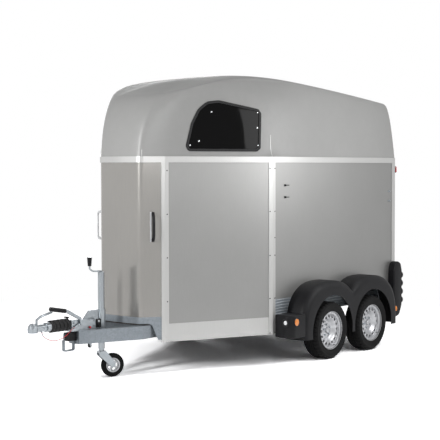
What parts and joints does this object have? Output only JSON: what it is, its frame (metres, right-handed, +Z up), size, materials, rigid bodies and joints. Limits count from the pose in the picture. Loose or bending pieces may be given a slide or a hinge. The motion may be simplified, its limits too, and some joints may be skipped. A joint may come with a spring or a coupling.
{
  "type": "horse trailer",
  "caption": "Two-horse trailer: aluminium body with tapered nose, polyester hood, tandem axle, V drawbar, ramp, side door and jockey wheel.",
  "frame": {"origin": "on the ground under the middle of the trailer's length and width", "axes": "-Y towards the coupling, +Y towards the ramp, +X to the trailer's left, +Z up"},
  "size_m": [2.2, 4.761, 2.8795],
  "materials": {
    "side_sheet": "satin anodised sheet",
    "nose_sheet": "glossy champagne grey sheet",
    "aluminium_profile": "anodised profile",
    "galvanised_steel": "hot dip galvanised",
    "zinc_plate": "bright zinc plated",
    "polyester_shell": "glossy grey gelcoat",
    "black_plastic": "grained black",
    "black_rubber": "matt",
    "tyre_rubber": "matt",
    "wheel_silver": "silver paint",
    "smoked_acrylic": "smoked, glossy",
    "grey_tarpaulin": "coated cloth",
    "coated_plywood": "phenolic film",
    "black_padding": "vinyl cover",
    "red_cable_coat": "red plastic sleeve over steel wire"
  },
  "bodies": {
    "root": {"floor": "coated_plywood", "nose_panel": "nose_sheet", "nose_apron": "galvanised_steel", "front_side_panel_left": "side_sheet", "front_side_panel_right": "side_sheet", "rear_side_panel_left": "side_sheet", "rear_side_panel_right": "side_sheet", "skirt_left": "aluminium_profile", "skirt_right": "aluminium_profile", "floor_rail_left": "galvanised_steel", "floor_rail_right": "galvanised_steel", "front_post_left": "aluminium_profile", "front_post_right": "aluminium_profile", "mid_post_left": "aluminium_profile", "mid_post_right": "aluminium_profile", "rear_post_left": "aluminium_profile", "rear_post_right": "aluminium_profile", "top_band": "aluminium_profile", "hood": "polyester_shell", "window_left": "smoked_acrylic", "window_right": "smoked_acrylic", "rear_curtain": "grey_tarpaulin", "breast_bar": "black_padding", "breech_bar": "black_padding", "partition": "black_padding", "drawbar_beam_left": "galvanised_steel", "drawbar_beam_right": "galvanised_steel", "cross_member_front": "galvanised_steel", "cross_member_mid": "galvanised_steel", "cross_member_rear": "galvanised_steel", "overrun_housing": "zinc_plate", "bellows": "black_rubber", "coupling_head": "zinc_plate", "handbrake_lever": "zinc_plate", "plug_holder": "black_plastic", "breakaway_cable": "red_cable_coat", "jockey_leg": "zinc_plate", "axle_front": "galvanised_steel", "axle_rear": "galvanised_steel", "mudguard_left": "black_plastic", "mudguard_right": "black_plastic", "tail_lamp_pod_left": "black_plastic", "tail_lamp_pod_right": "black_plastic", "grab_handle_left": "black_plastic", "grab_handle_right": "black_plastic"},
    "wheel_front_left": {"tyre_front_left": "tyre_rubber", "rim_front_left": "wheel_silver"},
    "wheel_front_right": {"tyre_front_right": "tyre_rubber", "rim_front_right": "wheel_silver"},
    "wheel_rear_left": {"tyre_rear_left": "tyre_rubber", "rim_rear_left": "wheel_silver"},
    "wheel_rear_right": {"tyre_rear_right": "tyre_rubber", "rim_rear_right": "wheel_silver"},
    "jockey_swivel": {"jockey_fork": "zinc_plate"},
    "jockey_roller": {"jockey_wheel": "black_rubber"},
    "ramp": {"rear_ramp": "side_sheet"},
    "door": {"entrance_door": "side_sheet"}
  },
  "joints": [
    {"name": "wheel_front_left_spin", "type": "hinge", "parent": "root", "child": "wheel_front_left", "pos_m": [0.9975, 0.7235, 0.2916], "axis": [1, 0, 0], "continuous": true},
    {"name": "wheel_front_right_spin", "type": "hinge", "parent": "root", "child": "wheel_front_right", "pos_m": [-0.9975, 0.7235, 0.2916], "axis": [1, 0, 0], "continuous": true},
    {"name": "wheel_rear_left_spin", "type": "hinge", "parent": "root", "child": "wheel_rear_left", "pos_m": [0.9975, 1.4935, 0.2916], "axis": [1, 0, 0], "continuous": true},
    {"name": "wheel_rear_right_spin", "type": "hinge", "parent": "root", "child": "wheel_rear_right", "pos_m": [-0.9975, 1.4935, 0.2916], "axis": [1, 0, 0], "continuous": true},
    {"name": "jockey_caster", "type": "hinge", "parent": "root", "child": "jockey_swivel", "pos_m": [0, -1.4905, 0.25], "axis": [0, 0, 1], "continuous": true},
    {"name": "jockey_wheel_spin", "type": "hinge", "parent": "jockey_swivel", "child": "jockey_roller", "pos_m": [0.04767, -1.39694, 0.11104], "axis": [0.891, -0.454, 0], "continuous": true},
    {"name": "ramp_hinge", "type": "hinge", "parent": "root", "child": "ramp", "pos_m": [0, 2.3025, 0.485], "axis": [-1, 0, 0], "range_deg": [0, 109]},
    {"name": "door_hinge", "type": "hinge", "parent": "root", "child": "door", "pos_m": [-0.51075, -0.81034, 1.24], "axis": [0, 0, 1], "range_deg": [0, 105]}
  ]
}
